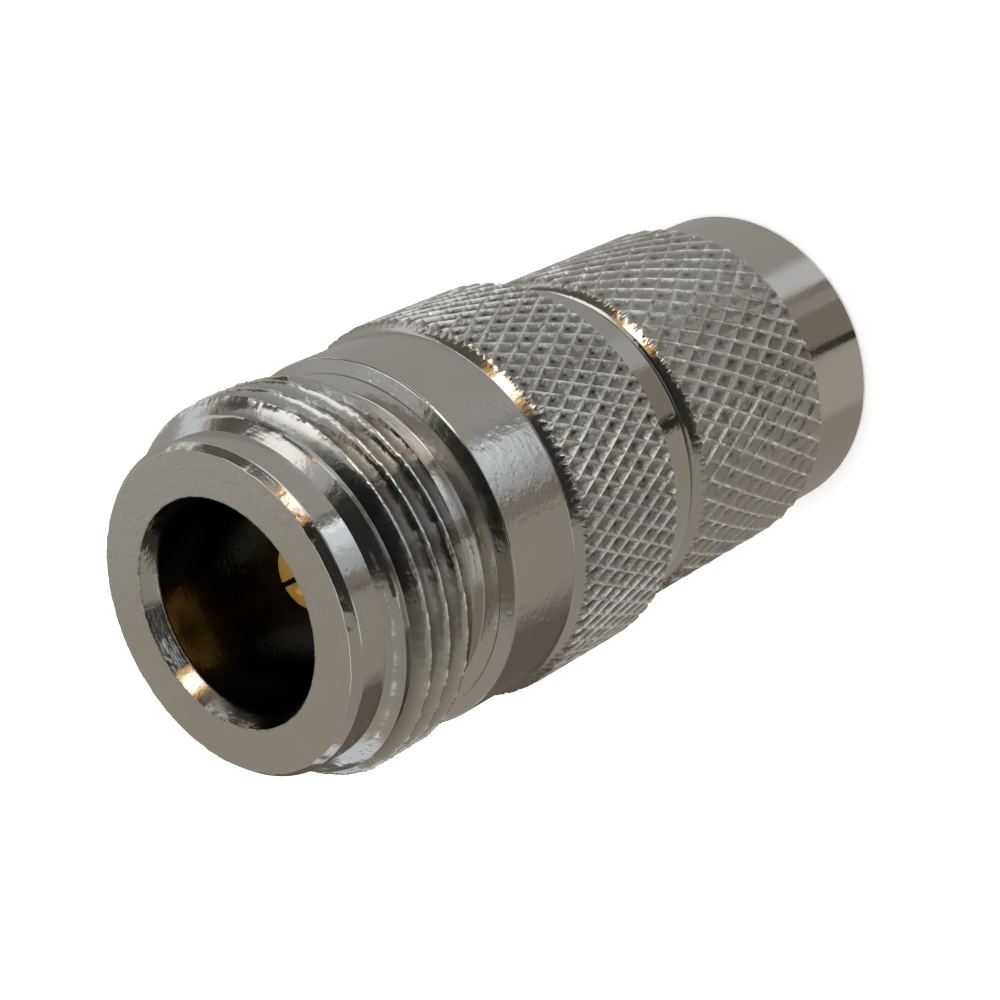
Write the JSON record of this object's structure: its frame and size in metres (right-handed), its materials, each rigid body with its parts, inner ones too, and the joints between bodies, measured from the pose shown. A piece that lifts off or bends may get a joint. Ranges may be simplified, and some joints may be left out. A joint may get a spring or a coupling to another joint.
{
  "type": "coaxial adapter",
  "caption": "Straight coaxial adapter: threaded jack with a knurled grip at one end, plug with a spinning knurled coupling nut at the other.",
  "frame": {"origin": "centre of the coupling nut's rim, in the plane the part stands on", "axes": "+Z along the connector's axis towards the jack's open face; the picture's camera looks from the -Y side and above"},
  "size_m": [0.0166, 0.0166, 0.0346],
  "materials": {
    "nickel_plate": "bright nickel plate on turned brass",
    "gold_plate": "gold plate on turned brass",
    "bronze": "spring bronze wire, bare",
    "dielectric": "white fluoropolymer, waxy",
    "rubber": "silicone rubber, matt"
  },
  "bodies": {
    "adapter_body": {"jack_shell": "nickel_plate", "snap_ring": "bronze", "plug_outer_contact": "nickel_plate", "gasket": "rubber", "jack_insulator": "dielectric", "plug_insulator": "dielectric", "socket_contact": "gold_plate", "pin_contact": "gold_plate"},
    "nut": {"coupling_nut": "nickel_plate"}
  },
  "joints": [
    {"name": "nut_spin", "type": "hinge", "parent": "adapter_body", "child": "nut", "pos_m": [0, 0, 0.009], "axis": [0, 0, 1], "continuous": true}
  ]
}
